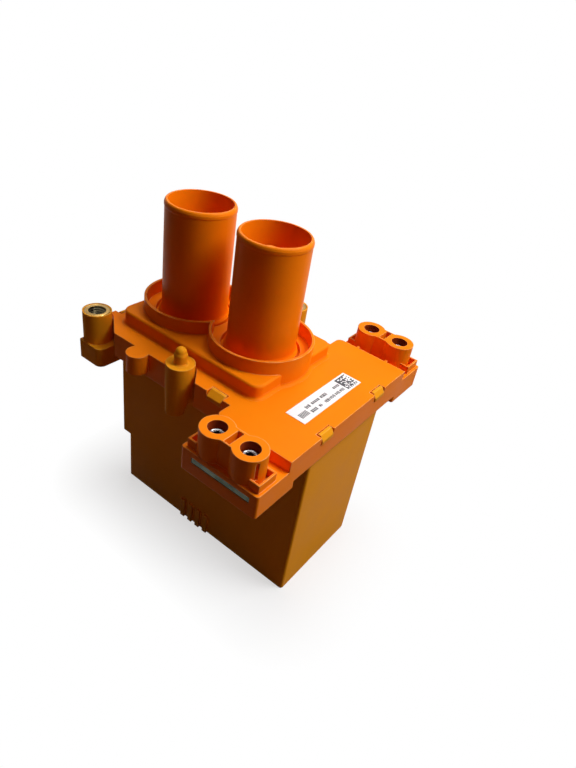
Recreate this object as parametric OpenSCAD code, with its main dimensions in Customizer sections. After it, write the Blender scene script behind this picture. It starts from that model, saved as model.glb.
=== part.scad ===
// Battery cable junction block. A deep moulded box holds the contacts and busbars.
// Its clip-on cover has two collars, each with a cable tube standing in it, and two
// arms with guards over pairs of captive terminal screws.
// The origin is the centre of the box's underside. +X runs along the box towards
// the terminal arms, -Y is the near side and +Z is up.

/* [Box] */
// Length of the box at its foot
box_length = 112.4; // [104:0.2:124]
// Depth of the box
box_depth = 57.4; // [54:0.2:64]
// Radius of the box's upright corners
box_corner = 1.5; // [1.25:0.25:3]
// How far the upper part of the box stands out at the left
head_overhang = 5.3; // [3:0.1:7]
// Height of the step below the upper part
step_height = 30.5; // [20:0.5:40]
// Height of the slope under the step
step_slope = 2.4; // [1:0.2:4]
// Thickness of the box's walls
box_wall = 2.4; // [1.8:0.1:3]
// Thickness of the box's floor
floor_thickness = 3; // [2:0.25:4]
// Number of short ribs at the foot of the near face
foot_ribs = 4; // [2:1:5]
// Distance from one foot rib to the next
foot_rib_pitch = 5.4; // [4:0.2:6]
// Height of the foot ribs
foot_rib_height = 12; // [6:0.5:20]
// How far the foot ribs stand out
foot_rib_proud = 1.2; // [1:0.2:4]

/* [Cover] */
// Height of the cover's plate above the underside of the box
cover_top = 98.4; // [96:0.2:104]
// Thickness of the cover's top walls
cover_thickness = 2.5; // [2:0.1:3]
// Thickness of the cover's skirt
skirt_wall = 2.2; // [1.6:0.1:2.6]
// Height of the cover's skirt
skirt_height = 12.8; // [11:0.2:15]
// How far the flange stands out in front of the box and behind it
flange_overhang = 9.1; // [8.6:0.1:11]
// How far the flange stands out at the left of the box
left_overhang = 9.8; // [9.6:0.1:12]
// How far the plate stands out at the right of the box
right_lap = 1.2; // [1.1:0.1:2]
// How much wider the plate is than the flange, on each side
plate_step = 8.6; // [7:0.2:10]
// Radius of the plate's left corners
plate_corner = 3; // [1.5:0.25:4]

/* [Deck and collars] */
// Height of the raised deck above the plate
deck_height = 6.7; // [6:0.1:9]
// Length of the deck
deck_length = 86.7; // [84:0.1:90]
// Depth of the deck
deck_depth = 57; // [54:0.2:58]
// How far the middle of the deck lies to the left of the middle of the tubes
deck_shift = 0.2; // [0:0.1:2]
// How far the middle of the deck lies behind the middle of the tubes
deck_back = 0.6; // [0:0.1:1.5]
// Radius of the deck's right corners
deck_corner = 4.5; // [2.6:0.1:6]
// Radius of the deck's left corners
deck_left_corner = 5.5; // [4:0.5:10]
// Radius of the fillet along the foot of the deck
deck_fillet = 1.4; // [1:0.1:2.4]
// Radius of the rounding along the deck's upper edge
deck_edge = 1.2; // [0.6:0.1:1.8]
// Height of the collars above the deck
collar_height = 6.6; // [3:0.2:9]
// Outer radius of the collars
collar_radius = 24.5; // [23:0.1:25]
// Thickness of the collars
collar_wall = 1.2; // [0.8:0.1:1.6]

/* [Tubes] */
// Distance from one tube to the other
tube_pitch = 42.9; // [42:0.1:44]
// From the upper box's left face to the middle between the tubes
tube_middle_inset = 42.45; // [41.5:0.05:43]
// Outer radius of the tubes above the deck
tube_radius = 16.2; // [15.5:0.1:16.4]
// Wall of the tubes above the deck
tube_wall = 1.4; // [1:0.1:1.6]
// Height of the tubes above the collars
tube_rise = 47.9; // [30:0.1:70]
// Width of the ring-shaped gap between a tube's foot and the deck
tube_gap = 1.4; // [0.8:0.1:1.6]
// How much wider a tube is where it passes the deck
tube_flare = 1.2; // [0.6:0.1:1.4]

/* [Terminal arms] */
// Length of the arms along X
arm_length = 39.1; // [37:0.2:44]
// How far the arms stand out beyond the plate
arm_reach = 18.9; // [18.2:0.1:24]
// Height of the arms
arm_height = 11.3; // [10:0.1:14]
// Drop from the plate to the arm's shelf
shelf_drop = 5.3; // [4.5:0.1:6]
// Distance between the two screws of a terminal
screw_pitch = 16.5; // [15.6:0.1:18]
// From the arm's right end to the middle between its screws
terminal_inset = 19.65; // [19:0.1:20.4]
// From the arm's outer face to the screws
screw_inset = 7.3; // [7.3:0.1:8]
// Outer radius of the screw guards
guard_radius = 7.2; // [6.6:0.1:7.3]
// Height of the guards above the shelf
guard_height = 12.2; // [11:0.2:15]
// Radius of the guards' bores
guard_bore = 3.95; // [3.8:0.05:4.2]

/* [Contacts and busbars] */
// Thickness of the busbars
bar_thickness = 2.5; // [2:0.1:3]
// Width of the busbars along the inside of the box
bar_run = 10; // [8:0.5:11]
// Length of a busbar's end under a terminal guard
bar_end = 29.3; // [27:0.1:31]
// Height of the carrier's deck above the underside of the box
carrier_top = 60; // [50:1:66]
// Thickness of the carrier's deck
carrier_thickness = 4; // [3:0.25:5]
// Radius of the contact pins
pin_radius = 6; // [4.5:0.25:7]
// Height of the contact pins above the carrier
pin_height = 32; // [22:1:34]

/* [Fasteners] */
// Radius of the terminal screws' thread
thread_radius = 2.5; // [2.4:0.05:2.6]
// Radius of the necked shank above the thread
neck_radius = 2.07; // [1.9:0.01:2.1]
// Radius of the terminal screws' heads
head_radius = 3.6; // [3.3:0.05:3.7]
// Height of the terminal screws' heads
head_height = 4.6; // [3.6:0.1:5]
// Depth of the heads below the guards' tops
head_recess = 3.4; // [2.6:0.1:4]
// Thickness of the washers
washer_thickness = 0.8; // [0.6:0.1:1.2]
// How far the screw tips stand out below the arms
tip_proud = 1.5; // [0:0.1:3]
// Length of the thread
thread_length = 5.8; // [4:0.1:6]
// Thread-core radius of the mounting inserts
insert_bore = 3.4; // [3:0.1:4]
// Thickness of the boss's plastic round the mounting inserts
boss_lip = 0.75; // [0.6:0.05:1.5]
// Length of the mounting inserts
insert_length = 17; // [12:0.5:18]

/* [Bosses] */
// Height of the boss and post tops above the plate
boss_rise = 3.7; // [2:0.1:6]
// Outer radius of the mounting bosses
boss_radius = 6.95; // [6.8:0.05:7.4]
// Radius of the locating post
post_radius = 6.6; // [6:0.05:6.9]
// Radius at the lower end of the post's taper
post_foot_radius = 4.4; // [3:0.1:5.5]
// Height of the post's taper
post_taper = 16; // [8:0.5:20]
// Height of the locating pin on the post
peg_height = 8.2; // [7.4:0.2:12]
// Radius of the locating pin
peg_radius = 3; // [2.7:0.1:3.6]
// Length of the pin's straight part
peg_straight = 4; // [2:0.5:5]
// Radius of the rounded tip of the locating pin
peg_tip = 2.5; // [2:0.1:2.6]

/* [Label] */
// Length of the label
label_length = 44.8; // [30:0.2:60]
// Width of the label
label_width = 10.2; // [8:0.2:12]
// Thickness of the label
label_thickness = 0.2; // [0.1:0.05:0.3]

/* [Hidden] */
$fn = 72;

fit = 0.2;
seat_gap = 0.1;
slide_fit = 0.05;
cut = 1;

left_face = -box_length / 2 - head_overhang;
right_face = box_length / 2;
box_half = box_depth / 2;

skirt_z = cover_top - skirt_height;
plate_under = cover_top - cover_thickness;
rim_z = plate_under - seat_gap;
flange_left = left_face - left_overhang;
flange_half = box_half + flange_overhang;
plate_right = right_face + right_lap;
plate_half = flange_half + plate_step;

arm_left = plate_right - arm_length;
arm_face = plate_half + arm_reach;
arm_corner = 1.2;
arm_step = 5.4;
shelf_z = cover_top - shelf_drop;
arm_z = shelf_z - arm_height;
guard_z = shelf_z + guard_height;
screw_x = plate_right - terminal_inset;
screw_y = arm_face - screw_inset;
rib_height = 3.9;

tube_middle = left_face + tube_middle_inset;
tube_xs = [tube_middle - tube_pitch / 2, tube_middle + tube_pitch / 2];
deck_z = cover_top + deck_height;
deck_under = deck_z - cover_thickness;
deck_left = tube_middle - deck_shift - deck_length / 2;
deck_right = deck_left + deck_length;
deck_near = deck_back - deck_depth / 2;
deck_far = deck_near + deck_depth;
collar_z = deck_z + collar_height;
tube_z = collar_z + tube_rise;
tube_foot_radius = tube_radius + tube_flare;
deck_hole = tube_foot_radius + tube_gap;
tube_bore = tube_radius - tube_wall;
tube_step_z = carrier_top + pin_height + 8;
tube_neck_bore = tube_bore - 2;

bar_top = shelf_z - cover_thickness - fit;
bar_left = screw_x + 1 - bar_end / 2;
bar_right = bar_left + bar_end;
bar_foot_top = carrier_top - carrier_thickness;
bar_foot_z = bar_foot_top - bar_thickness;
bar_outer_y = box_half - box_wall - 2.8;
bar_inner_y = bar_outer_y - bar_run;
bar_bend = 2;
pad_half = 10;
pad_reach = 8;

latch_width = 8;
latch_wall = 1.3;
latch_gap = 0.6;
latch_seat = plate_under - 1.6;
latch_top = cover_top + 0.3;
latch_proud = 0.4;
barb_height = 1.8;
right_latch_ys = [-21.4, 21.6];
left_latch_ys = [-19.2, 19.2];
side_latch_x = screw_x - 28.4;
latch_foot_z = skirt_z - 5.6;
latch_foot_height = 3;

boss_z = cover_top + boss_rise;
boss_foot_z = skirt_z - 9;
insert_radius = boss_radius - boss_lip;
left_boss = [left_face - 10.3, -box_half - 5.7];
far_boss = [tube_middle + 4.75, box_half + 21.8];
boss_block_right = left_face + fit;
boss_block_left = left_boss[0] - 4.8;
boss_block_near = left_boss[1] - 7.7;
boss_block_far = -box_half + 5;
boss_block_top = skirt_z - fit;
boss_ledge_top = skirt_z + 0.9;
boss_turn = -38;
notch_gap = 0.6;
notch_wall = 1.6;

post = [tube_middle + 5.5, -box_half - post_radius - 0.1];
post_turn = -50;
post_z = boss_z;
peg_fillet = 0.6;
post_foot_z = skirt_z - 9.4;
ear = [tube_middle - 16.95, -flange_half - 2.5];
ear_radius = 5.2;
ear_height = 9.6;

head_top = guard_z - head_recess;
head_z = head_top - head_height;
washer_z = head_z - washer_thickness;
sleeve_radius = guard_bore - slide_fit;
sleeve_bore = neck_radius + 0.08;
washer_radius = head_radius + 0.2;
tip_z = arm_z - tip_proud;
bar_hole = thread_radius + 0.25;
socket_radius = 1.9;
socket_depth = 2.4;

bolt_radius = 4;
bolt_head_radius = 6.4;
bolt_head_height = 5;
bolt_depth = 10;

// A rounded rectangle between two corners, drawn with true arcs
module rounded_plan(x0, x1, y0, y1, r) {
    translate([x0 + r, y0]) square([x1 - x0 - 2 * r, y1 - y0]);
    translate([x0, y0 + r]) square([x1 - x0, y1 - y0 - 2 * r]);
    for (x = [x0 + r, x1 - r], y = [y0 + r, y1 - r]) translate([x, y]) circle(r);
}

// A rectangle with a true arc of its own radius at each corner. The radii stand in
// the order near left, near right, far right and far left.
module corner_plan(x0, x1, y0, y1, r) {
    polygon([[x0 + r[0], y0], [x1 - r[1], y0], [x1, y0 + r[1]], [x1, y1 - r[2]],
        [x1 - r[2], y1], [x0 + r[3], y1], [x0, y1 - r[3]], [x0, y0 + r[0]]]);
    translate([x0 + r[0], y0 + r[0]]) circle(r[0]);
    translate([x1 - r[1], y0 + r[1]]) circle(r[1]);
    translate([x1 - r[2], y1 - r[2]]) circle(r[2]);
    translate([x0 + r[3], y1 - r[3]]) circle(r[3]);
}

// A rounded rectangle, raised from one height to another
module rounded_block(x0, x1, y0, y1, z0, z1, r) {
    translate([0, 0, z0]) linear_extrude(z1 - z0) rounded_plan(x0, x1, y0, y1, r);
}

module block(x0, x1, y0, y1, z0, z1) {
    translate([x0, y0, z0]) cube([x1 - x0, y1 - y0, z1 - z0]);
}

module post_at(p, r, z0, z1) {
    translate([p[0], p[1], z0]) cylinder(r = r, h = z1 - z0);
}

// A straight bar from a point p towards the near side, turned about that point
module bar_from(p, turn, length, y0, y1, z0, z1) {
    translate([p[0], p[1], 0]) rotate([0, 0, turn]) block(0, length, y0, y1, z0, z1);
}

// Puts its children at every snap latch, with local +X pointing outwards from the
// cover's edge. inner is the wall of the skirt there, wall_gap the way to the box.
module at_latches() {
    for (y = right_latch_ys) translate([plate_right, y, 0]) {
        $inner = right_lap - fit;
        $wall_gap = 0;
        children();
    }
    for (y = left_latch_ys) translate([flange_left, y, 0]) rotate([0, 0, 180]) {
        $inner = skirt_wall;
        $wall_gap = left_overhang;
        children();
    }
    for (s = [-1, 1]) translate([side_latch_x, s * flange_half, 0]) rotate([0, 0, s * 90]) {
        $inner = skirt_wall;
        $wall_gap = flange_overhang;
        children();
    }
}

// One springy tab of the box, with a barb that snaps over the edge of the skirt
module latch() {
    tab_out = -$inner - fit;
    tab_in = tab_out - latch_wall;
    barb_z = latch_seat + fit;
    root_z = $wall_gap > 0 ? latch_foot_z : rim_z - box_wall;
    translate([0, latch_width / 2, 0]) rotate([90, 0, 0]) linear_extrude(latch_width)
        polygon([[tab_in, root_z], [tab_out, root_z], [tab_out, barb_z], [latch_proud, barb_z],
            [latch_proud, barb_z + barb_height], [tab_out, latch_top], [tab_in, latch_top]]);
    if ($wall_gap > 0)
        block(-$wall_gap - 0.5, tab_out, -latch_width / 2, latch_width / 2,
            latch_foot_z, latch_foot_z + latch_foot_height);
}

// The window that the cover leaves for a latch
module latch_window() {
    inner_edge = $inner + fit + latch_wall + latch_gap;
    block(-inner_edge, cut, -latch_width / 2 - latch_gap, latch_width / 2 + latch_gap,
        latch_seat, latch_top + cut);
}

module box_outside() {
    rounded_block(-box_length / 2, right_face, -box_half, box_half, 0, rim_z, box_corner);
    rounded_block(left_face, right_face, -box_half, box_half, step_height, rim_z, box_corner);
    translate([0, box_half - box_corner, 0]) rotate([90, 0, 0])
        linear_extrude(box_depth - 2 * box_corner)
        polygon([[-box_length / 2, step_height - step_slope], [left_face, step_height],
            [-box_length / 2, step_height]]);
}

module box_inside() {
    inset_left = -box_length / 2 + box_wall;
    inner_half = box_half - box_wall;
    inner_corner = max(box_corner - box_wall, 0.5);
    rounded_block(inset_left, right_face - box_wall, -inner_half, inner_half,
        floor_thickness, rim_z + cut, inner_corner);
    rounded_block(left_face + box_wall, right_face - box_wall, -inner_half, inner_half,
        step_height + box_wall, rim_z + cut, inner_corner);
}

// Where the busbars leave the box over its near and far walls
module bar_gates() {
    for (s = [-1, 1])
        block(bar_left - fit, bar_right + fit, s * box_half - box_wall - cut,
            s * box_half + box_wall + cut, bar_top - bar_thickness - 2 * fit, rim_z + cut);
}

module boss_block_plan() {
    corner_plan(boss_block_left, boss_block_right, boss_block_near, boss_block_far, [1, 3.5, 0.5, 0.5]);
}

// The left boss on its block. The block's top is a little higher where the cover's
// skirt isn't above it.
module left_boss_solid() {
    ledge_z = boss_block_top - 0.5;
    translate([0, 0, boss_foot_z]) linear_extrude(boss_block_top - boss_foot_z) boss_block_plan();
    block(boss_block_right - 2, left_face + box_wall / 2, -box_half + box_corner, boss_block_far,
        boss_foot_z, boss_block_top);
    intersection() {
        translate([0, 0, ledge_z]) linear_extrude(boss_ledge_top - ledge_z) boss_block_plan();
        block(boss_block_left - cut, boss_block_right + cut, boss_block_near - cut, -box_half,
            ledge_z, boss_ledge_top);
        bar_from(left_boss + [-20 * cos(boss_turn), -20 * sin(boss_turn)], boss_turn, 40,
            -20, boss_radius + notch_gap / 2, ledge_z, boss_ledge_top);
    }
    post_at(left_boss, boss_radius, boss_foot_z, boss_z);
}

module far_boss_solid() {
    block(far_boss[0] - boss_radius, far_boss[0] + boss_radius, box_half - box_wall / 2,
        far_boss[1], boss_foot_z, skirt_z - fit);
    post_at(far_boss, boss_radius, boss_foot_z, boss_z);
}

module insert_pocket(p) {
    post_at(p, insert_radius + slide_fit, boss_z - insert_length, boss_z + cut);
    post_at(p, insert_bore + 1, boss_foot_z - cut, boss_z);
}

// The locating post. Its lower end narrows at the back, and a web holds it to the box.
module locating_post() {
    taper_top = post_foot_z + post_taper;
    disc = 0.5;
    post_at(post, post_radius, taper_top - disc, post_z);
    hull() {
        post_at(post, post_radius, taper_top - disc, taper_top, $fn = 32);
        post_at([post[0], post[1] - post_radius + post_foot_radius], post_foot_radius,
            post_foot_z, post_foot_z + disc, $fn = 32);
    }
    block(post[0] - 2, post[0] + 2, post[1], -box_half + 0.5, post_foot_z + 2, rim_z - 1);
    translate([post[0], post[1], post_z]) rotate_extrude() {
        polygon([[0, 0], [peg_radius + peg_fillet, 0], [peg_radius, peg_fillet],
            [peg_radius, peg_fillet + peg_straight], [peg_tip, peg_height - peg_tip],
            [0, peg_height - peg_tip]]);
        translate([0, peg_height - peg_tip]) intersection() {
            circle(peg_tip);
            square(peg_tip);
        }
    }
}

module foot_rib_row() {
    rib_width = foot_rib_pitch / 2;
    first_x = tube_middle + 6.8;
    for (i = [0:foot_ribs - 1])
        block(first_x + i * foot_rib_pitch - rib_width / 2, first_x + i * foot_rib_pitch + rib_width / 2,
            -box_half - foot_rib_proud, -box_half + 0.5, 0, foot_rib_height);
}

module housing() color("#c87414") difference() {
    union() {
        difference() {
            box_outside();
            box_inside();
        }
        left_boss_solid();
        far_boss_solid();
        locating_post();
        foot_rib_row();
        at_latches() latch();
    }
    bar_gates();
    insert_pocket(left_boss);
    insert_pocket(far_boss);
}

// The deck's outline, drawn inset from its true one
module deck_plan(inset) {
    left_corner = max(deck_left_corner - inset, 0.4);
    right_corner = max(deck_corner - inset, 0.4);
    corner_plan(deck_left + inset, deck_right - inset, deck_near + inset, deck_far - inset,
        [left_corner, right_corner, right_corner, left_corner]);
}

// The fillet's section: x is the way out from the wall and y the height
module fillet_plan() {
    graze = 0.03;
    difference() {
        translate([-0.3, -0.5]) square([deck_fillet + 0.3, deck_fillet + 0.5]);
        translate([deck_fillet + graze, deck_fillet + graze]) circle(deck_fillet);
    }
}

// What the rounding of the deck's upper edge takes away: x is the way out from the
// wall and y the height above the deck
module edge_plan() {
    graze = 0.03;
    difference() {
        translate([-deck_edge, -deck_edge]) square(deck_edge + cut);
        translate([graze - deck_edge, graze - deck_edge]) circle(deck_edge);
    }
}

module edge_run(length) {
    rotate([90, 0, 90]) linear_extrude(length) mirror([1, 0]) children();
}

module edge_corner(r) {
    reach = r + deck_fillet + 2;
    intersection() {
        rotate_extrude() translate([r, 0]) children();
        block(0, reach, -reach, 0, -reach, reach);
    }
}

// Sweeps a section along the outline of the deck
module along_deck() {
    long_run = deck_length - deck_left_corner - deck_corner;
    translate([deck_left + deck_left_corner, deck_near, 0]) edge_run(long_run) children();
    translate([deck_right - deck_corner, deck_far, 0]) rotate([0, 0, 180]) edge_run(long_run) children();
    translate([deck_left, deck_far - deck_left_corner, 0]) rotate([0, 0, -90])
        edge_run(deck_depth - 2 * deck_left_corner) children();
    translate([deck_right, deck_near + deck_corner, 0]) rotate([0, 0, 90])
        edge_run(deck_depth - 2 * deck_corner) children();
    translate([deck_left + deck_left_corner, deck_near + deck_left_corner, 0]) rotate([0, 0, -90])
        edge_corner(deck_left_corner) children();
    translate([deck_left + deck_left_corner, deck_far - deck_left_corner, 0]) rotate([0, 0, 180])
        edge_corner(deck_left_corner) children();
    translate([deck_right - deck_corner, deck_near + deck_corner, 0])
        edge_corner(deck_corner) children();
    translate([deck_right - deck_corner, deck_far - deck_corner, 0]) rotate([0, 0, 90])
        edge_corner(deck_corner) children();
}

// The hollow fillet along the foot of the deck and round the collars' ends
module deck_foot() translate([0, 0, cover_top]) {
    along_deck() fillet_plan();
    for (x = tube_xs) translate([x, 0, 0]) rotate_extrude() translate([collar_radius, 0]) fillet_plan();
}

module deck_block() difference() {
    translate([0, 0, plate_under]) linear_extrude(deck_z - plate_under) deck_plan(0);
    translate([0, 0, deck_z]) along_deck() edge_plan();
}

// Both collars as one figure-of-eight outline
module collar_plan(r) {
    for (x = tube_xs) translate([x, 0]) circle(r);
}

module guard_outside(s) {
    waist = 2.2;
    for (x = [-1, 1]) post_at([screw_x + x * screw_pitch / 2, s * screw_y], guard_radius,
        shelf_z - 0.5, guard_z);
    translate([screw_x - screw_pitch / 2, s * (screw_y - 0.2) - guard_radius + waist,
        shelf_z - 0.5])
        cube([screw_pitch, 2 * (guard_radius - waist), guard_z - shelf_z + 0.5]);
}

module guard_cuts(s) {
    pocket_width = 2.8;
    pocket_depth = 10.3;
    pocket_length = 8.4;
    slit_width = 1.3;
    slit_foot = shelf_z + 2.9;
    for (x = [-1, 1]) post_at([screw_x + x * screw_pitch / 2, s * screw_y], guard_bore,
        shelf_z - cover_thickness - cut, guard_z + cut);
    translate([screw_x - pocket_width / 2, s * screw_y - pocket_length / 2, guard_z - pocket_depth])
        cube([pocket_width, pocket_length, pocket_depth + cut]);
    translate([screw_x + screw_pitch / 2, s * screw_y, 0]) rotate([0, 0, s * 27])
        block(guard_radius - 1.4, guard_radius + cut, -slit_width / 2, slit_width / 2,
            slit_foot, guard_z - 1.2);
}

// Low U-shaped ribs on the shelf round both ends of a guard
module shelf_ribs(s) {
    rib = 0.85;
    rib_half = 5.15;
    end_gap = 1.3;
    rib_y = s * (screw_y + 0.45);
    for (end = [-1, 1]) {
        x_end = end > 0 ? plate_right - end_gap : arm_left + 1.7;
        x_in = screw_x + end * (screw_pitch / 2 + guard_radius - 2);
        block(min(x_end, x_end - end * rib), max(x_end, x_end - end * rib),
            rib_y - rib_half, rib_y + rib_half, shelf_z - 0.5, shelf_z + rib_height);
        for (y = [-1, 1])
            block(min(x_in, x_end), max(x_in, x_end), rib_y + y * (rib_half - rib / 2) - rib / 2,
                rib_y + y * (rib_half - rib / 2) + rib / 2, shelf_z - 0.5, shelf_z + rib_height);
    }
}

// Two small teeth on the plate's edge behind each guard
module edge_teeth(s) {
    tooth = 1.2;
    tooth_length = 1.6;
    for (x = [-1, 1])
        block(screw_x + x * screw_pitch / 2 - tooth / 2, screw_x + x * screw_pitch / 2 + tooth / 2,
            min(s * (plate_half - 0.5), s * (plate_half + tooth_length)),
            max(s * (plate_half - 0.5), s * (plate_half + tooth_length)), shelf_z - 0.5, cover_top);
}

module cover_outside() {
    rounded_block(flange_left, arm_left + 2 * plate_corner, -flange_half, flange_half,
        skirt_z, cover_top, 1.5);
    rounded_block(arm_left, plate_right, -plate_half, plate_half, skirt_z, cover_top, plate_corner);
    block(plate_right - 2 * plate_corner, plate_right, -plate_half, plate_half, skirt_z, cover_top);
    for (s = [-1, 1]) {
        scale_y = [s * (plate_half - arm_step), s * arm_face];
        rounded_block(arm_left, plate_right, min(scale_y), max(scale_y), arm_z, shelf_z, arm_corner);
        guard_outside(s);
        shelf_ribs(s);
        edge_teeth(s);
    }
    deck_block();
    for (x = tube_xs) post_at([x, 0], collar_radius, plate_under, deck_z);
    translate([0, 0, deck_z - 0.5]) linear_extrude(collar_height + 0.5) collar_plan(collar_radius);
    deck_foot();
    post_at(ear, ear_radius, cover_top - ear_height, cover_top);
}

module cover_inside() {
    inner_right = plate_right - skirt_wall;
    block(flange_left + skirt_wall, inner_right, -flange_half + skirt_wall,
        flange_half - skirt_wall, arm_z - cut, plate_under);
    block(0, right_face + fit, -box_half - fit, box_half + fit, arm_z - cut, plate_under);
    block(arm_left + skirt_wall, inner_right, -plate_half + skirt_wall, plate_half - skirt_wall,
        arm_z - cut, plate_under);
    block(arm_left + skirt_wall, inner_right, -arm_face + skirt_wall, arm_face - skirt_wall,
        arm_z - cut, shelf_z - cover_thickness);
    translate([0, 0, plate_under - cut]) linear_extrude(deck_under - plate_under + cut)
        deck_plan(skirt_wall);
    for (x = tube_xs) {
        post_at([x, 0], collar_radius - skirt_wall, plate_under - cut, deck_under);
        post_at([x, 0], deck_hole, deck_under - cut, deck_z + cut);
    }
    translate([0, 0, deck_z]) linear_extrude(collar_height + cut)
        collar_plan(collar_radius - collar_wall);
}

// Walls that close the flange round the boss and the post, and along the straight
// sides of their notches
module notch_walls() {
    intersection() {
        block(flange_left, arm_left, -flange_half, -box_half - fit, skirt_z, plate_under + cut);
        union() {
            post_at(left_boss, boss_radius + notch_gap + notch_wall, skirt_z, plate_under + cut);
            post_at(post, post_radius + notch_gap + notch_wall, skirt_z, plate_under + cut);
            bar_from(left_boss, boss_turn, 24, boss_radius + notch_gap,
                boss_radius + notch_gap + notch_wall, skirt_z, plate_under + cut);
            bar_from(post, post_turn, 16, post_radius + notch_gap,
                post_radius + notch_gap + notch_wall, skirt_z, plate_under + cut);
        }
    }
}

module cover_cuts() {
    post_at(left_boss, boss_radius + notch_gap, arm_z, cover_top + cut);
    post_at(post, post_radius + notch_gap, arm_z, cover_top + cut);
    bar_from(left_boss, boss_turn, 24, -boss_radius - notch_gap, boss_radius + notch_gap,
        arm_z, cover_top + cut);
    bar_from(post, post_turn, 16, -post_radius - notch_gap, post_radius + notch_gap,
        arm_z, cover_top + cut);
    at_latches() latch_window();
    for (s = [-1, 1]) {
        guard_cuts(s);
        block(bar_left - fit, bar_right + fit, s * arm_face - skirt_wall - cut,
            s * arm_face + skirt_wall + cut, bar_top - bar_thickness - fit, bar_top + fit);
    }
}

module cover() color("#ff8a00") difference() {
    union() {
        difference() {
            cover_outside();
            cover_inside();
        }
        notch_walls();
    }
    cover_cuts();
}

module label() color("white")
    translate([screw_x + 4.55 - label_width / 2, -1.75 - label_length / 2, cover_top])
    cube([label_width, label_length, label_thickness]);

// A cable tube: a thin wall above the deck, a flare where it passes the deck, a ring
// that the deck holds down, and a thicker neck that stands on the contact carrier
module tube() color("#ff8200") rotate_extrude() {
    bead = 0.2;
    ring_radius = deck_hole + 1.2;
    ring_top = deck_under - 0.3;
    ring_z = ring_top - 2;
    polygon([[tube_neck_bore, carrier_top], [tube_foot_radius, carrier_top],
        [tube_foot_radius, ring_z], [ring_radius, ring_z], [ring_radius, ring_top],
        [tube_foot_radius, ring_top], [tube_foot_radius, deck_z + 0.2],
        [tube_radius + 0.3, deck_z + 1.4], [tube_radius, deck_z + 2.6], [tube_radius, tube_z - 3],
        [tube_radius + bead, tube_z - 2.5], [tube_radius + bead, tube_z - 1.4],
        [tube_radius - 0.15, tube_z - 0.5], [tube_radius - 0.6, tube_z], [tube_bore, tube_z],
        [tube_bore, tube_step_z], [tube_neck_bore, tube_step_z]]);
}

// The carrier is a channel that stands on the box's floor
module contact_carrier() color("#3a3a3c") {
    leg_outer = box_half - box_wall - fit;
    leg = 1.6;
    x0 = -box_length / 2 + box_wall + fit + 0.6;
    x1 = tube_xs[1] + 20;
    difference() {
        union() {
            block(x0, x1, -leg_outer, leg_outer, bar_foot_top, carrier_top);
            for (s = [-1, 1])
                block(x0, x1, min(s * leg_outer, s * (leg_outer - leg)),
                    max(s * leg_outer, s * (leg_outer - leg)), floor_thickness, carrier_top);
        }
        for (x = tube_xs)
            post_at([x, 0], pad_half + slide_fit, bar_foot_z - cut, carrier_top + cut);
    }
}

// A contact pin: a flange clamped on the busbar, a round pin and a spigot for the cap
module contact_pin() color("#c9ccd0") difference() {
    spigot = 4;
    union() {
        translate([0, 0, bar_foot_top]) cylinder(r = pad_half, h = carrier_thickness);
        translate([0, 0, carrier_top - cut]) cylinder(r = pin_radius, h = pin_height + cut);
        translate([0, 0, carrier_top + pin_height - cut])
            cylinder(r = pin_radius / 2, h = spigot + cut);
    }
    translate([0, 0, bar_foot_top - cut])
        cylinder(r = bolt_radius + slide_fit, h = bolt_depth + 2 * cut);
}

// The insulating cap that keeps fingers off the pin
module pin_cap() color("#e0e0da") translate([0, 0, carrier_top + pin_height]) rotate_extrude()
    polygon([[pin_radius / 2 + slide_fit, 0], [pin_radius - 0.2, 0], [pin_radius - 0.2, 3.4],
        [pin_radius - 2, 5.4], [0, 5.4], [0, 4.1], [pin_radius / 2 + slide_fit, 4.1]]);

module contact_bolt() color("#9a9ca0") {
    translate([0, 0, bar_foot_z - bolt_head_height]) difference() {
        cylinder(r = bolt_head_radius, h = bolt_head_height, $fn = 6);
        translate([0, 0, -cut]) cylinder(r = 2, h = 1 + cut);
    }
    translate([0, 0, bar_foot_z - 0.5]) cylinder(r = bolt_radius, h = bar_thickness + bolt_depth);
}

// A bent busbar for the near side. reach_x is the tube whose pin it joins.
module bar_profile() {
    outer = bar_bend + bar_thickness;
    riser_y = bar_inner_y;
    translate([-bar_outer_y, bar_foot_z]) square([bar_outer_y - riser_y - outer, bar_thickness]);
    translate([-riser_y - bar_thickness, bar_foot_z + outer])
        square([bar_thickness, bar_top - bar_foot_z - 2 * outer]);
    translate([-arm_face + fit, bar_top - bar_thickness])
        square([arm_face - fit - riser_y - outer, bar_thickness]);
    for (z = [bar_foot_z + outer, bar_top - outer]) translate([-riser_y - outer, z])
        intersection() {
            difference() {
                circle(outer);
                circle(bar_bend);
            }
            translate([0, z > bar_foot_z + outer ? 0 : -outer]) square(outer);
        }
}

module busbar(tube_x) color("#8f9a8c") difference() {
    union() {
        translate([bar_left, 0, 0]) rotate([90, 0, 90]) linear_extrude(bar_end) bar_profile();
        block(tube_x - pad_half, bar_left + 1, -bar_outer_y,
            -bar_inner_y - bar_bend - bar_thickness, bar_foot_z, bar_foot_top);
        block(tube_x - pad_half, tube_x + pad_half, -bar_outer_y, pad_reach, bar_foot_z, bar_foot_top);
    }
    post_at([tube_x, 0], bolt_radius + fit, bar_foot_z - cut, bar_foot_top + cut);
    for (x = [-1, 1]) post_at([screw_x + x * screw_pitch / 2, -screw_y], bar_hole,
        bar_top - bar_thickness - cut, bar_top + cut);
}

module mounting_insert(p) color("#b9ab7c") translate([p[0], p[1], boss_z - insert_length])
    rotate_extrude() polygon([[insert_bore, 0], [insert_radius, 0], [insert_radius, insert_length],
        [insert_bore + 0.8, insert_length], [insert_bore, insert_length - 0.8]]);

module at_screw(side, end) {
    translate([screw_x + end * screw_pitch / 2, side * screw_y, 0]) children();
}

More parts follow.
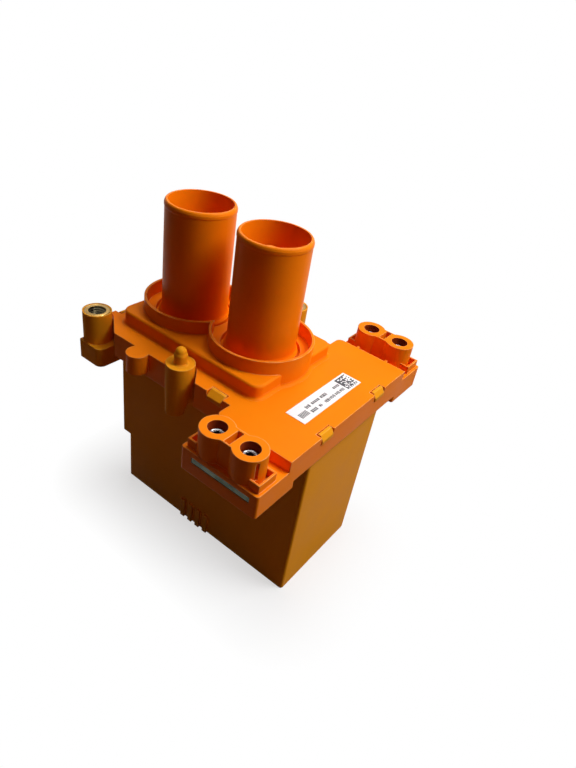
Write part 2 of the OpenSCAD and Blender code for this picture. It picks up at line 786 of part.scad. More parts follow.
module sleeve() color("#a9acb0") difference() {
    translate([0, 0, bar_top]) cylinder(r = sleeve_radius, h = washer_z - bar_top);
    translate([0, 0, bar_top - cut]) cylinder(r = sleeve_bore, h = washer_z - bar_top + 2 * cut);
}

module washer() color("#b4b7bb") difference() {
    translate([0, 0, washer_z]) cylinder(r = washer_radius, h = washer_thickness);
    translate([0, 0, washer_z - cut]) cylinder(r = sleeve_bore, h = washer_thickness + 2 * cut);
}

// A captive screw: the necked shank passes the sleeve, and the thread doesn't
module terminal_screw() color("#c4c8cc") difference() {
    translate([0, 0, tip_z]) rotate_extrude() polygon([[0, 0], [thread_radius - 0.5, 0],
        [thread_radius, 0.5], [thread_radius, thread_length - 0.4],
        [neck_radius, thread_length], [neck_radius, head_z - tip_z],
        [head_radius, head_z - tip_z], [head_radius, head_top - tip_z - 0.6],
        [head_radius - 0.6, head_top - tip_z], [0, head_top - tip_z]]);
    translate([0, 0, head_top - socket_depth]) {
        cylinder(r = socket_radius * 0.8, h = socket_depth + cut);
        for (a = [0:60:300]) rotate([0, 0, a]) translate([socket_radius * 0.75, 0, 0])
            cylinder(r = socket_radius * 0.28, h = socket_depth + cut);
    }
}

housing();
cover();
label();
translate([tube_xs[0], 0, 0]) tube();  // left_tube
translate([tube_xs[1], 0, 0]) tube();  // right_tube
contact_carrier();
translate([tube_xs[0], 0, 0]) contact_pin();  // left_contact_pin
translate([tube_xs[1], 0, 0]) contact_pin();  // right_contact_pin
translate([tube_xs[0], 0, 0]) pin_cap();  // left_pin_cap
translate([tube_xs[1], 0, 0]) pin_cap();  // right_pin_cap
translate([tube_xs[0], 0, 0]) contact_bolt();  // left_contact_bolt
translate([tube_xs[1], 0, 0]) contact_bolt();  // right_contact_bolt
busbar(tube_xs[0]);  // near_busbar
mirror([0, 1, 0]) busbar(tube_xs[1]);  // far_busbar
mounting_insert(left_boss);  // left_mounting_insert
mounting_insert(far_boss);  // far_mounting_insert
at_screw(-1, -1) sleeve();  // near_left_sleeve
at_screw(-1, 1) sleeve();  // near_right_sleeve
at_screw(1, -1) sleeve();  // far_left_sleeve
at_screw(1, 1) sleeve();  // far_right_sleeve
at_screw(-1, -1) washer();  // near_left_washer
at_screw(-1, 1) washer();  // near_right_washer
at_screw(1, -1) washer();  // far_left_washer
at_screw(1, 1) washer();  // far_right_washer
at_screw(-1, -1) terminal_screw();  // near_left_screw
at_screw(-1, 1) terminal_screw();  // near_right_screw
at_screw(1, -1) terminal_screw();  // far_left_screw
at_screw(1, 1) terminal_screw();  // far_right_screw
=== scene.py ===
import math
import random

import bmesh
import bpy
from mathutils import Matrix, Vector


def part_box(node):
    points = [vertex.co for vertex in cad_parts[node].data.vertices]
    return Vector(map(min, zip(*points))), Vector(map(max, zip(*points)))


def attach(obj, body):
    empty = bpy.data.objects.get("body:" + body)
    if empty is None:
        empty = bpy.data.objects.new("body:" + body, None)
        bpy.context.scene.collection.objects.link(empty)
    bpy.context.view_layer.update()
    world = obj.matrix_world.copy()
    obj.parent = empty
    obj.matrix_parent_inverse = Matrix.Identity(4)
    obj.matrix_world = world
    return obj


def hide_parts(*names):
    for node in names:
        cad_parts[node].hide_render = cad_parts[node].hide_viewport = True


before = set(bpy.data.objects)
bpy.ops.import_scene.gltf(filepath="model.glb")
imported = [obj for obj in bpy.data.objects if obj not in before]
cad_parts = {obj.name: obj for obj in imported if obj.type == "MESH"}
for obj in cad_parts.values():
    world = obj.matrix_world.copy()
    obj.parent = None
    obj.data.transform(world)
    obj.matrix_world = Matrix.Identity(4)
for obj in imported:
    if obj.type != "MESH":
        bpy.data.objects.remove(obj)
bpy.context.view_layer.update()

mm = 0.001
root = "block"
scene = bpy.context.scene
scene.view_settings.view_transform = "Standard"


# the view is solved from the box's straight edges and the tubes in the photograph
view = {
    "place": (135.8, -187.5, 246.2),  # mm
    "azimuth": 31.46,
    "elevation": 34.9,
    "roll": 10.45,
    "focalPixels": 576.3,
    "longSidePixels": 768,
    "sensor": 36.0,
    "clip": (0.01, 20.0),
}


def makeCamera(v):
    az, el, roll = (math.radians(v[k]) for k in ("azimuth", "elevation", "roll"))
    back = Vector((math.sin(az) * math.cos(el), -math.cos(az) * math.cos(el), math.sin(el)))
    right = Vector((0, 0, 1)).cross(back).normalized()
    up = back.cross(right)
    rightRolled = right * math.cos(roll) + up * math.sin(roll)
    upRolled = up * math.cos(roll) - right * math.sin(roll)
    data = bpy.data.cameras.new("photoCamera")
    data.sensor_width = v["sensor"]
    data.lens = v["focalPixels"] / v["longSidePixels"] * v["sensor"]
    data.clip_start, data.clip_end = v["clip"]
    cam = bpy.data.objects.new("photoCamera", data)
    scene.collection.objects.link(cam)
    place = [c * mm for c in v["place"]]
    for column, axis in enumerate((rightRolled, upRolled, back, place)):
        for row in range(3):
            cam.matrix_world[row][column] = axis[row]
    scene.camera = cam


makeCamera(view)
print("camera placed")


# small helpers for node materials
def newMaterial(name):
    mat = bpy.data.materials.new(name)
    mat.use_nodes = True
    mat.node_tree.nodes.clear()
    return mat, mat.node_tree


def addNode(tree, kind, **values):
    node = tree.nodes.new(kind)
    for key, value in values.items():
        if hasattr(node, key) and key not in node.inputs:
            setattr(node, key, value)
        else:
            node.inputs[key].default_value = value
    return node


def link(tree, source, sink):
    tree.links.new(source, sink)


def objectCoords(tree):
    return tree.nodes.new("ShaderNodeTexCoord").outputs["Object"]


def noiseNode(tree, coords, noise):
    scale, detail, rough = noise
    node = addNode(tree, "ShaderNodeTexNoise", Scale=scale, Detail=detail, Roughness=rough)
    link(tree, coords, node.inputs["Vector"])
    return node.outputs["Fac"]


def rampNode(tree, factor, places, colours):
    ramp = tree.nodes.new("ShaderNodeValToRGB")
    for element, place, colour in zip(ramp.color_ramp.elements, places, colours):
        element.position = place
        element.color = (*colour, 1)
    link(tree, factor, ramp.inputs["Fac"])
    return ramp.outputs["Color"]


def mathNode(tree, operation, first, second):
    node = addNode(tree, "ShaderNodeMath", operation=operation)
    link(tree, first, node.inputs[0])
    link(tree, second, node.inputs[1])
    return node.outputs["Value"]


def vectorNode(tree, operation, first, second=None):
    node = addNode(tree, "ShaderNodeVectorMath", operation=operation)
    link(tree, first, node.inputs[0])
    if isinstance(second, tuple):
        node.inputs[1].default_value = second
    elif second is not None:
        link(tree, second, node.inputs[1])
    return node.outputs["Value" if operation in ("LENGTH", "DOT_PRODUCT") else "Vector"]


def mixColour(tree, factor, first, second):
    mix = addNode(tree, "ShaderNodeMix", data_type="RGBA")
    link(tree, factor, mix.inputs["Factor"])
    for socket, value in ((mix.inputs[6], first), (mix.inputs[7], second)):  # its colour sockets
        if isinstance(value, tuple):
            socket.default_value = (*value, 1)
        else:
            link(tree, value, socket)
    return mix.outputs[2]


def mixShaders(tree, factor, first, second):
    mix = tree.nodes.new("ShaderNodeMixShader")
    for socket, source in zip(mix.inputs, (factor, first, second)):
        link(tree, source, socket)
    return mix.outputs["Shader"]


def mapRange(tree, value, source, target):
    node = addNode(tree, "ShaderNodeMapRange", clamp=True)
    for key, number in zip(("From Min", "From Max", "To Min", "To Max"), (*source, *target)):
        node.inputs[key].default_value = number
    link(tree, value, node.inputs["Value"])
    return node.outputs["Result"]


def bumpNode(tree, height, strength, distance, normal=None):
    bump = addNode(tree, "ShaderNodeBump", Strength=strength, Distance=distance * mm)
    link(tree, height, bump.inputs["Height"])
    if normal is not None:
        link(tree, normal, bump.inputs["Normal"])
    return bump.outputs["Normal"]


def principled(tree, colour, rough, normal):
    shader = tree.nodes.new("ShaderNodeBsdfPrincipled")
    for key, source in (("Base Color", colour), ("Roughness", rough), ("Normal", normal)):
        link(tree, source, shader.inputs[key])
    out = tree.nodes.new("ShaderNodeOutputMaterial")
    link(tree, shader.outputs["BSDF"], out.inputs["Surface"])
    return shader


def backdropRays(tree):
    # 1 for the rays that see the white backdrop, 0 for those that bring light to the object
    paths = tree.nodes.new("ShaderNodeLightPath")
    seen = paths.outputs["Is Camera Ray"]
    for kind in ("Is Glossy Ray", "Is Transmission Ray"):
        seen = mathNode(tree, "MAXIMUM", seen, paths.outputs[kind])
    return seen


# edges are bevelled in the shading; where the bevel's normal leans from the face's they take a
# paler colour, partly wear and partly a painted highlight
edgeLook = {
    "samples": 6,
    "lean": (0.99, 0.86),  # dot products of the two normals, from no wear and highlight to full
}
noiseSpread = (0.3, 0.7)  # nearly all of a noise's values lie between these


def roundedNormal(tree, radius):
    bevel = addNode(tree, "ShaderNodeBevel", samples=edgeLook["samples"], Radius=radius * mm)
    return bevel.outputs["Normal"]


def edgeMask(tree, rounded):
    face = tree.nodes.new("ShaderNodeNewGeometry").outputs["Normal"]
    facing = vectorNode(tree, "DOT_PRODUCT", rounded, face)
    return mapRange(tree, facing, edgeLook["lean"], (0.0, 1.0))


# painted shade on the walls of the screw guards' bores, in mm
guardBoreShade = {
    "middle": (37.75, 0.0, 0.0),  # between the four bores
    "spread": (8.25, 58.0, 0.0),  # from there to each bore
    "radius": 3.99,
    "fade": 0.04,
    "colour": (0.22, 0.014, 0.002),
    "amount": 0.92,
}


# paints shade on the walls of the four guard bores
def paintBoreShade(tree, coords, shadeLook):
    # the guards stand in mirrored pairs, so one folded distance in mm finds all four bores
    middle, spread = (tuple(v * mm for v in shadeLook[k]) for k in ("middle", "spread"))
    away = vectorNode(tree, "SUBTRACT", coords, middle)
    away = vectorNode(tree, "ABSOLUTE", away)
    away = vectorNode(tree, "SUBTRACT", away, spread)
    away = vectorNode(tree, "MULTIPLY", away, (1 / mm, 1 / mm, 0))
    wall = (shadeLook["radius"] + shadeLook["fade"], shadeLook["radius"])
    return mapRange(tree, vectorNode(tree, "LENGTH", away), wall, (0.0, shadeLook["amount"]))


# moulded plastics: each noise is its scale, detail and roughness, each height is in mm
orangePlastic = {
    "colour": (0.97, 0.24, 0.002), "deep": (0.92, 0.215, 0.002),
    "cloud": (38.0, 4.0, 0.6), "cloudRange": (0.3, 0.72),
    "fleck": (0.6, 0.13, 0.004), "fleckNoise": (900.0, 2.0, 0.7),
    "fleckRange": (0.62, 0.78), "fleckAmount": 0.2,
    # edge: a paler edge colour, partly wear and partly a painted highlight
    "edge": (1.0, 0.58, 0.24), "edgeRadius": 0.55, "rubs": (240.0, 3.0, 0.6), "wearAndHighlight": (0.15, 1.0),
    "ripple": (120.0, 2.0, 0.5), "rippleDepth": 0.05, "rippleHeight": 0.4,
    "grain": (2600.0, 2.0, 0.6), "grainDepth": 0.35, "grainHeight": 0.06,
    "rough": (0.4, 0.54), "specular": 0.05,
}
housingPlastic = dict(
    orangePlastic, colour=(0.93, 0.37, 0.01), deep=(0.86, 0.32, 0.008), fleck=(0.5, 0.16, 0.01),
    edge=(1.0, 0.6, 0.16), rough=(0.48, 0.64), cloud=(26.0, 4.0, 0.6), grainDepth=0.5,
)
tubePlastic = dict(
    orangePlastic, colour=(0.98, 0.235, 0.002), deep=(0.95, 0.215, 0.002), rough=(0.34, 0.48),
    grainDepth=0.22, edgeRadius=0.3,
)
blackNylon = dict(
    orangePlastic, colour=(0.035, 0.035, 0.038), deep=(0.025, 0.025, 0.027),
    fleck=(0.09, 0.09, 0.09), edge=(0.12, 0.12, 0.12), rough=(0.5, 0.65),
)
greyCap = dict(
    orangePlastic, colour=(0.5, 0.5, 0.46), deep=(0.42, 0.42, 0.39), fleck=(0.3, 0.3, 0.28),
    edge=(0.7, 0.7, 0.66), rough=(0.4, 0.55),
)


def plasticMaterial(name, look, boreShading=None):
    mat, tree = newMaterial(name)
    coords = objectCoords(tree)
    rounded = roundedNormal(tree, look["edgeRadius"])
    cloud = noiseNode(tree, coords, look["cloud"])
    colour = rampNode(tree, cloud, look["cloudRange"], (look["deep"], look["colour"]))
    flecks = mapRange(tree, noiseNode(tree, coords, look["fleckNoise"]), look["fleckRange"],
                      (0.0, look["fleckAmount"]))
    colour = mixColour(tree, flecks, colour, look["fleck"])
    rubs = mapRange(tree, noiseNode(tree, coords, look["rubs"]), noiseSpread, look["wearAndHighlight"])
    # the edges take the paler colour: wear and a painted highlight
    wornAndHighlit = mathNode(tree, "MULTIPLY", edgeMask(tree, rounded), rubs)
    colour = mixColour(tree, wornAndHighlit, colour, look["edge"])
    # the guards' bores take a painted shade
    if boreShading:
        colour = mixColour(tree, paintBoreShade(tree, coords, boreShading), colour, boreShading["colour"])
    normal = bumpNode(tree, noiseNode(tree, coords, look["ripple"]), look["rippleDepth"],
                      look["rippleHeight"], rounded)
    normal = bumpNode(tree, noiseNode(tree, coords, look["grain"]), look["grainDepth"],
                      look["grainHeight"], normal)
    shader = principled(tree, colour, mapRange(tree, cloud, noiseSpread, look["rough"]), normal)
    shader.inputs["Specular IOR Level"].default_value = look["specular"]
    return mat


# metals: brush stretches the brushed noise along each axis
zincSteel = {
    "colour": (0.72, 0.73, 0.74), "dark": (0.5, 0.5, 0.52),
    "stain": (260.0, 4.0, 0.6), "stainRange": (0.35, 0.68),
    "brush": (1, 1, 6), "brushed": (700.0, 3.0, 0.6), "depth": 0.12, "height": 0.04,
    "rough": (0.16, 0.34), "edgeRadius": 0.15,
}
# the tin plate's colour is darkened to a painted shade
shadedTinPlate = dict(
    zincSteel, colour=(0.1, 0.115, 0.085), dark=(0.03, 0.04, 0.028), brush=(1, 6, 6),
    rough=(0.38, 0.6), stain=(120.0, 4.0, 0.6), depth=0.25,
)
yellowZinc = dict(
    zincSteel, colour=(0.48, 0.29, 0.08), dark=(0.32, 0.19, 0.055), rough=(0.22, 0.42),
    stain=(400.0, 4.0, 0.6),
)
# the screw socket's steel is darkened to a painted shade for the recess
socketShadeSteel = dict(
    zincSteel, colour=(0.05, 0.05, 0.055), dark=(0.02, 0.02, 0.024), rough=(0.4, 0.6),
)
# the insert's thread is darkened to a painted shade inside its bore
threadShadeZinc = dict(
    yellowZinc, colour=(0.16, 0.13, 0.07), dark=(0.05, 0.045, 0.03), rough=(0.3, 0.5),
)
silverPlate = dict(
    zincSteel, colour=(0.86, 0.85, 0.82), dark=(0.7, 0.69, 0.66), rough=(0.12, 0.26),
)


def metalMaterial(name, look):
    mat, tree = newMaterial(name)
    coords = objectCoords(tree)
    stretch = addNode(tree, "ShaderNodeMapping", Scale=look["brush"])
    link(tree, coords, stretch.inputs["Vector"])
    brushed = noiseNode(tree, stretch.outputs["Vector"], look["brushed"])
    stain = noiseNode(tree, coords, look["stain"])
    colour = rampNode(tree, stain, look["stainRange"], (look["dark"], look["colour"]))
    normal = bumpNode(tree, brushed, look["depth"], look["height"],
                      roundedNormal(tree, look["edgeRadius"]))
    shader = principled(tree, colour, mapRange(tree, brushed, noiseSpread, look["rough"]), normal)
    shader.inputs["Metallic"].default_value = 1.0
    return mat


# the label's film and the inks on it
labelFilm = {
    "colour": (0.9, 0.9, 0.91), "deepen": 0.93, "fibre": (1500.0, 3.0, 0.6),
    "fibreRange": (0.35, 0.6), "depth": 0.08, "height": 0.03, "rough": (0.34, 0.46),
}
labelInk = dict(labelFilm, colour=(0.035, 0.035, 0.045), rough=(0.44, 0.56))
labelGreyInk = dict(labelInk, colour=(0.07, 0.07, 0.08))


def filmMaterial(name, look):
    mat, tree = newMaterial(name)
    fibre = noiseNode(tree, objectCoords(tree), look["fibre"])
    deep = tuple(c * look["deepen"] for c in look["colour"])
    colour = rampNode(tree, fibre, look["fibreRange"], (deep, look["colour"]))
    normal = bumpNode(tree, fibre, look["depth"], look["height"])
    principled(tree, colour, mapRange(tree, fibre, noiseSpread, look["rough"]), normal)
    return mat


coverMat = plasticMaterial("coverPlastic", orangePlastic, guardBoreShade)
housingMat = plasticMaterial("housingPlastic", housingPlastic)
tubeMat = plasticMaterial("tubePlastic", tubePlastic)
carrierMat = plasticMaterial("carrierNylon", blackNylon)
capMat = plasticMaterial("capPlastic", greyCap)
steelMat = metalMaterial("zincSteel", zincSteel)
shadedBusbarMat = metalMaterial("shadedTinPlate", shadedTinPlate)
insertMat = metalMaterial("yellowZinc", yellowZinc)
silverMat = metalMaterial("silverPlate", silverPlate)
socketShadeMat = metalMaterial("socketShadeSteel", socketShadeSteel)
threadShadeMat = metalMaterial("threadShadeZinc", threadShadeZinc)
paperMat = filmMaterial("labelPaper", labelFilm)
inkMat = filmMaterial("labelInk", labelInk)
greyInkMat = filmMaterial("labelGreyInk", labelGreyInk)
print("materials made")

terminals = [f"{side}_{end}" for side in ("near", "far") for end in ("left", "right")]
finishes = {
    "housing": housingMat, "cover": coverMat, "label": paperMat,
    "left_tube": tubeMat, "right_tube": tubeMat, "contact_carrier": carrierMat,
    "left_contact_pin": silverMat, "right_contact_pin": silverMat,
    "left_pin_cap": capMat, "right_pin_cap": capMat,
    "left_contact_bolt": steelMat, "right_contact_bolt": steelMat,
    "near_busbar": shadedBusbarMat, "far_busbar": shadedBusbarMat,
}
for terminal in terminals:
    finishes[terminal + "_sleeve"] = steelMat
    finishes[terminal + "_washer"] = steelMat

for nodeName, material in finishes.items():
    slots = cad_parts[nodeName].data.materials
    slots.clear()
    slots.append(material)
print("CAD nodes finished")


def newPiece(name, bm, materials, body, smoothAngle=35):
    mesh = bpy.data.meshes.new(name)
    bmesh.ops.recalc_face_normals(bm, faces=bm.faces)
    for face in bm.faces:
        face.smooth = True
    bm.to_mesh(mesh)
    bm.free()
    for material in materials:
        mesh.materials.append(material)
    obj = bpy.data.objects.new(name, mesh)
    scene.collection.objects.link(obj)
    sharpen = obj.modifiers.new("sharpEdges", "EDGE_SPLIT")
    sharpen.split_angle = math.radians(smoothAngle)
    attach(obj, body)
    return obj


def middleOf(low, high):
    return (low.x + high.x) / 2, (low.y + high.y) / 2


# each mark group runs between two fractions of the label's length, from its near end
labelPrint = {
    "ink": 0.02,
    "code": {"cells": 12, "run": (0.793, 0.979), "across": 0.095, "fill": 0.55, "cellSize": 0.99},
    "rows": (
        {"across": 4.0, "height": 1.75,
         "runs": ((0.2, 0.28), (0.3, 0.43), (0.45, 0.55), (0.675, 0.775))},
        {"across": 7.3, "height": 1.75,
         "runs": ((0.2, 0.3), (0.33, 0.37), (0.43, 0.51), (0.52, 0.6), (0.61, 0.68),
                  (0.695, 0.765))},
    ),
    "markWidths": (0.5, 0.75, 1.0),
    "markHeights": (0.8, 1.0, 1.0),
    "leastMark": 0.35,
    "markGap": 0.26,
    "bars": {"across": 6.1, "height": 3.0, "run": (0.05, 0.175), "count": 7, "width": 0.62},
    "seed": 11,
}


def thinBox(bm, xRange, yRange, zRange):
    (x0, x1), (y0, y1) = xRange, yRange
    outline = ((x0, y0), (x1, y0), (x1, y1), (x0, y1))
    corners = [bm.verts.new((x * mm, y * mm, z * mm)) for z in zRange for x, y in outline]
    sides = ((3, 2, 1, 0), (4, 5, 6, 7), (0, 1, 5, 4), (1, 2, 6, 5), (2, 3, 7, 6), (3, 0, 4, 7))
    for side in sides:
        bm.faces.new([corners[i] for i in side])


def makeLabelPrint(p):
    low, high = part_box("label")
    x0, y0, top = low.x / mm, low.y / mm, high.z / mm
    wide, long = (high.x - low.x) / mm, (high.y - low.y) / mm
    rng = random.Random(p["seed"])

    def mark(bm, xa, xb, ya, yb):
        thinBox(bm, (xa, xb), (ya, yb), (top, top + p["ink"]))

    square = bmesh.new()
    code = p["code"]
    codeX, codeY = x0 + code["across"] * wide, y0 + code["run"][0] * long
    last = code["cells"] - 1
    cell = (code["run"][1] - code["run"][0]) * long / code["cells"]
    for i in range(code["cells"]):
        for j in range(code["cells"]):
            border = i == 0 or j == 0 or (i == last and j % 2 == 0) or (j == last and i % 2 == 0)
            if border or (0 < i < last and 0 < j < last and rng.random() < code["fill"]):
                x, y, size = codeX + i * cell, codeY + j * cell, cell * code["cellSize"]
                mark(square, x, x + size, y, y + size)
    newPiece("label_code", square, [inkMat], root)

    marks = bmesh.new()
    for row in p["rows"]:
        mid = x0 + row["across"]
        for start, stop in row["runs"]:
            y, end = y0 + start * long, y0 + stop * long
            while y < end - p["leastMark"]:
                width = min(rng.choice(p["markWidths"]), end - y)
                half = row["height"] * rng.choice(p["markHeights"]) / 2
                mark(marks, mid - half, mid + half, y, y + width)
                y += width + p["markGap"]
    bars = p["bars"]
    mid, half = x0 + bars["across"], bars["height"] / 2
    step = (bars["run"][1] - bars["run"][0]) * long / bars["count"]
    for i in range(bars["count"]):
        y = y0 + bars["run"][0] * long + i * step
        mark(marks, mid - half, mid + half, y, y + step * bars["width"])
    newPiece("label_marks", marks, [greyInkMat], root)


makeLabelPrint(labelPrint)
print("label printed")


# turned and threaded pieces: each is a list of rings, from one end of its profile to the other
def ringSurface(bm, rings, steps, closed):
    rows = []
    for radius, height in rings:
        row = []
        for k in range(steps):
            turn = 2 * math.pi * k / steps
            r = radius(turn) if callable(radius) else radius
            x, y = r * math.cos(turn), r * math.sin(turn)
            row.append(bm.verts.new((x * mm, y * mm, height * mm)))
        rows.append(row)
    pairs = list(zip(rows, rows[1:]))
    if closed:
        pairs.append((rows[-1], rows[0]))
    for a, b in pairs:
        for k in range(steps):
            bm.faces.new((a[k], a[(k + 1) % steps], b[(k + 1) % steps], b[k]))
    return rows


def threadRings(z0, z1, pitch, crest, rootRadius, rowsPerTurn=8, fade=0.8):
    # the radius follows a triangular wave that climbs one pitch in each turn and fades at both ends
    rings = []
    count = int(abs(z1 - z0) / pitch * rowsPerTurn)
    for i in range(count + 1):
        z = z0 + (z1 - z0) * i / count
        ends = min(1.0, min(abs(z - z0), abs(z1 - z)) / (fade * pitch))

        def radius(turn, z=z, ends=ends):
            phase = (z / pitch - turn / (2 * math.pi)) % 1.0
            wave = abs(phase * 2 - 1)
            plain = rootRadius < crest  # where the thread fades out, the radius is the larger one
            return rootRadius + (crest - rootRadius) * (wave * ends + (1 - ends) * plain)
        rings.append((radius, z))
    return rings


def paintShadeInside(bm, radius, foot):
    # faces within the radius and above the foot take the piece's second material, a painted shade
    for face in bm.faces:
        spot = face.calc_center_median()
        if math.hypot(spot.x, spot.y) < radius * mm and spot.z > foot * mm:
            face.material_index = 1


insertLook = {
    "threadRadius": 3.4,  # the thread's inner crests
    "threadDepth": 0.6,
    "pitch": 1.25,
    "threadFoot": 0.4,
    # the thread's painted shade starts this far above the insert's foot
    "shadeFoot": 0.3,
    "mouthChamfer": 0.75,
    "mouthStep": (0.15, 0.12),  # width and height
    "edge": 0.3,
    "groovePlace": 0.3,  # outwards from the middle of the end face
    "grooveHalf": 0.25,
    "grooveDepth": 0.12,
    "steps": 64,
}


def makeInsert(node, look):
    low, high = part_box(node)
    outer, z0, z1 = (high.x - low.x) / 2 / mm, low.z / mm, high.z / mm
    inner, edge = look["threadRadius"], look["edge"]
    mouth = inner + look["mouthChamfer"]
    stepWidth, stepHeight = look["mouthStep"]
    groove, half = (mouth + outer) / 2 + look["groovePlace"], look["grooveHalf"]
    rings = [(outer - edge, z0), (outer, z0 + edge), (outer, z1 - edge), (outer - edge, z1)]
    rings += [(groove + half, z1), (groove, z1 - look["grooveDepth"]), (groove - half, z1)]
    rings += [(mouth + stepWidth, z1), (mouth, z1 - stepHeight)]
    rings += threadRings(z1 - look["mouthChamfer"], z0 + look["threadFoot"], look["pitch"],
                         inner, inner + look["threadDepth"])
    rings.append((inner + look["threadDepth"], z0))
    bm = bmesh.new()
    ringSurface(bm, rings, look["steps"], closed=True)
    paintShadeInside(bm, mouth, z0 + look["shadeFoot"])
    bmesh.ops.translate(bm, verts=bm.verts, vec=(*middleOf(low, high), 0))
    piece = newPiece(node + "_threaded", bm, [insertMat, threadShadeMat], root)
    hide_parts(node)


for nodeName in ("left_mounting_insert", "far_mounting_insert"):
    makeInsert(nodeName, insertLook)
print("inserts threaded")


screwLook = {
    "headRadius": 3.6,
    "headHeight": 4.6,
    "headEdge": 0.5,
    "headFootEdge": 0.12,
    "domeSteps": 4,
    "rimHeight": 0.18,  # a low rim stands round the socket
    "rimInset": (0.35, 0.5),  # from the dome to the rim's top and foot
    "neckRadius": 2.07,
    "neckFlare": (0.1, 0.25),  # width and height
    "threadRadius": 2.5,
    "threadLength": 5.8,
    "threadRoot": 0.05,  # the thread's root lies this far inside the neck
    "threadRunout": 0.2,
    "tipChamfer": 0.35,
    "pitch": 0.8,
    "lobes": 6,
    "lobeDepth": 0.36,
    "lobeChamfer": (0.22, 0.25),  # width and height
    "socketRadius": 2.0,
    "socketDepth": 2.4,
    "socketFloor": ((0.9, 0.3), (0.02, 0.45)),  # radius, and depth below the lobes
    "shadeMargin": (0.2, 1.0),  # the painted shade goes this far outwards and down from the socket
    "hubRadius": 0.02,
    "steps": 72,
    "smoothAngle": 32,
}


def makeScrew(node, body, look):
    low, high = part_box(node)
    tip, top = low.z / mm, high.z / mm
    headFoot = top - look["headHeight"]
    threadTop = tip + look["threadLength"]
    head, neck, edge = look["headRadius"], look["neckRadius"], look["headEdge"]
    chamfer, footEdge, rim = look["tipChamfer"], look["headFootEdge"], look["rimHeight"]
    flareWidth, flareHeight = look["neckFlare"]
    lobeWiden, lobeDrop = look["lobeChamfer"]
    swing = look["lobeDepth"] / 2
    socketFoot = top - look["socketDepth"]

    def lobe(turn):
        return look["socketRadius"] - swing + swing * math.cos(look["lobes"] * turn)

    def lobeWide(turn):
        return lobe(turn) + lobeWiden

    rings = [(look["hubRadius"], tip), (neck - chamfer, tip)]
    rings += threadRings(tip + chamfer, threadTop - look["threadRunout"], look["pitch"],
                         look["threadRadius"], neck - look["threadRoot"])
    rings += [(neck, threadTop), (neck, headFoot - flareHeight), (neck + flareWidth, headFoot)]
    rings += [(head - footEdge, headFoot), (head, headFoot + footEdge), (head, top - edge - rim)]
    for i in range(1, look["domeSteps"] + 1):
        part = i / look["domeSteps"]
        turn = math.pi / 2 * part
        rings.append((head - edge + edge * math.cos(turn),
                      top - edge + edge * math.sin(turn) - rim * (1 - part)))
    rings += [(head - edge - inset, z) for inset, z in zip(look["rimInset"], (top, top - rim))]
    rings += [(lobeWide, top - rim), (lobe, top - rim - lobeDrop), (lobe, socketFoot)]
    rings += [(radius, socketFoot - drop) for radius, drop in look["socketFloor"]]
    bm = bmesh.new()
    rows = ringSurface(bm, rings, look["steps"], closed=False)
    bm.faces.new(rows[0])
    bm.faces.new(rows[-1])
    outwards, below = look["shadeMargin"]
    paintShadeInside(bm, look["socketRadius"] + outwards, socketFoot - below)
    bmesh.ops.translate(bm, verts=bm.verts, vec=(*middleOf(low, high), 0))
    piece = newPiece(node + "_threaded", bm, [steelMat, socketShadeMat], body,
                     look["smoothAngle"])
    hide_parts(node)


for terminal in terminals:
    makeScrew(terminal + "_screw", terminal + "_turner", screwLook)
print("screws turned")


# a small moulding burr on the right tube's rim
burr = {
    "tube": "right_tube",
    "turn": -60.0,
    "reach": 14.5,  # from the tube's axis
    "radii": (1.6, 2.4, 0.6),
    "segments": (24, 12),
}


def makeBurr(b):
    low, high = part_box(b["tube"])
    turn = math.radians(b["turn"])
    around, along = b["segments"]
    bm = bmesh.new()
    bmesh.ops.create_uvsphere(bm, u_segments=around, v_segments=along, radius=1)
    bmesh.ops.scale(bm, verts=bm.verts, vec=[r * mm for r in b["radii"]])
    bmesh.ops.rotate(bm, verts=bm.verts, matrix=Matrix.Rotation(turn, 3, "Z"))
    cx, cy = middleOf(low, high)
    reach = b["reach"] * mm
    centre = (cx + reach * math.cos(turn), cy + reach * math.sin(turn), high.z - b["radii"][2] * mm)
    bmesh.ops.translate(bm, verts=bm.verts, vec=centre)
    newPiece("rim_burr", bm, [tubeMat], root)


makeBurr(burr)
print("burr made")


# floor, backdrop and lights, in metres
studio = {
    "floorColour": (0.92, 0.92, 0.92),
    "floorBounce": (0.12, 0.045, 0.02),  # what the floor gives back to the object's sides
    "floorSize": 60.0,
    "footprint": (0.056, 0.0287, 0.0),  # half of the box's length and depth
    "shadowReach": (0.002, 0.042),  # from the box, from full shadow to none
    "floorGlow": (0.64, 1.0),
    "seenColour": (1.0, 1.0, 1.0),
    "shadeColour": (1.0, 0.5, 0.3),  # light in the shade is warm from the plastic around it
    "worldStrength": 0.03,
    "aim": (0.0, 0.0, 0.07),
}
lamps = {
    "key": {"place": (0.262, 0.148, 0.55), "size": 0.26, "power": 2.35, "colour": (1.0, 1.0, 1.0)},
    "side": {"place": (0.95, 0.5, 0.38), "size": 0.5, "power": 1.6, "colour": (1.0, 1.0, 1.0)},
    "back": {"place": (-0.22, 0.55, 1.42), "size": 1.0, "power": 10.5, "colour": (1.0, 1.0, 1.0)},
    "fill": {"place": (0.1, -1.1, 1.0), "size": 1.2, "power": 0.25, "colour": (1.0, 0.4, 0.2)},
}


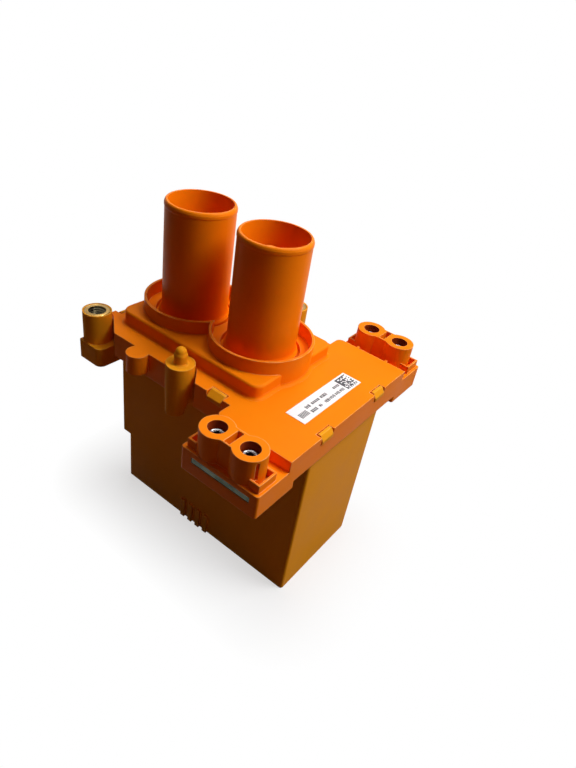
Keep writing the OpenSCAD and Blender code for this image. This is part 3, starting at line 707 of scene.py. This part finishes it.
def makeFloor(s):
    mat, tree = newMaterial("paleFloor")
    seen = backdropRays(tree)
    shader = addNode(tree, "ShaderNodeBsdfPrincipled", Roughness=1.0)
    shader.inputs["Specular IOR Level"].default_value = 0.0
    colour = mixColour(tree, seen, s["floorBounce"], s["floorColour"])
    link(tree, colour, shader.inputs["Base Color"])
    glow = addNode(tree, "ShaderNodeEmission", Strength=1.0)
    away = vectorNode(tree, "ABSOLUTE", objectCoords(tree))
    away = vectorNode(tree, "SUBTRACT", away, s["footprint"])
    away = vectorNode(tree, "MAXIMUM", away, (0.0, 0.0, 0.0))
    far = mapRange(tree, vectorNode(tree, "LENGTH", away), s["shadowReach"], s["floorGlow"])
    mixed = mixShaders(tree, mathNode(tree, "MULTIPLY", seen, far), shader.outputs["BSDF"],
                       glow.outputs["Emission"])
    out = tree.nodes.new("ShaderNodeOutputMaterial")
    link(tree, mixed, out.inputs["Surface"])
    bm = bmesh.new()
    bmesh.ops.create_grid(bm, x_segments=1, y_segments=1, size=s["floorSize"] / 2)
    mesh = bpy.data.meshes.new("floor")
    bm.to_mesh(mesh)
    bm.free()
    mesh.materials.append(mat)
    floor = bpy.data.objects.new("floor", mesh)
    scene.collection.objects.link(floor)


def makeWorld(s):
    world = bpy.data.worlds.new("paleWorld")
    world.use_nodes = True
    tree = world.node_tree
    tree.nodes.clear()
    soft, seen = (
        addNode(tree, "ShaderNodeBackground", Strength=strength, Color=(*colour, 1))
        for strength, colour in ((s["worldStrength"], s["shadeColour"]), (1.0, s["seenColour"]))
    )
    mixed = mixShaders(tree, backdropRays(tree), soft.outputs["Background"],
                       seen.outputs["Background"])
    out = tree.nodes.new("ShaderNodeOutputWorld")
    link(tree, mixed, out.inputs["Surface"])
    scene.world = world


def makeLamp(name, lamp, aim):
    data = bpy.data.lights.new(name, "AREA")
    data.shape = "DISK"
    data.size = lamp["size"]
    data.energy = lamp["power"]
    data.color = lamp["colour"]
    obj = bpy.data.objects.new(name, data)
    scene.collection.objects.link(obj)
    obj.location = lamp["place"]
    towards = Vector(aim) - Vector(lamp["place"])
    obj.rotation_euler = towards.to_track_quat("-Z", "Y").to_euler()


makeFloor(studio)
makeWorld(studio)
for lampName, lamp in lamps.items():
    makeLamp(lampName + "Lamp", lamp, studio["aim"])
print("studio lit")
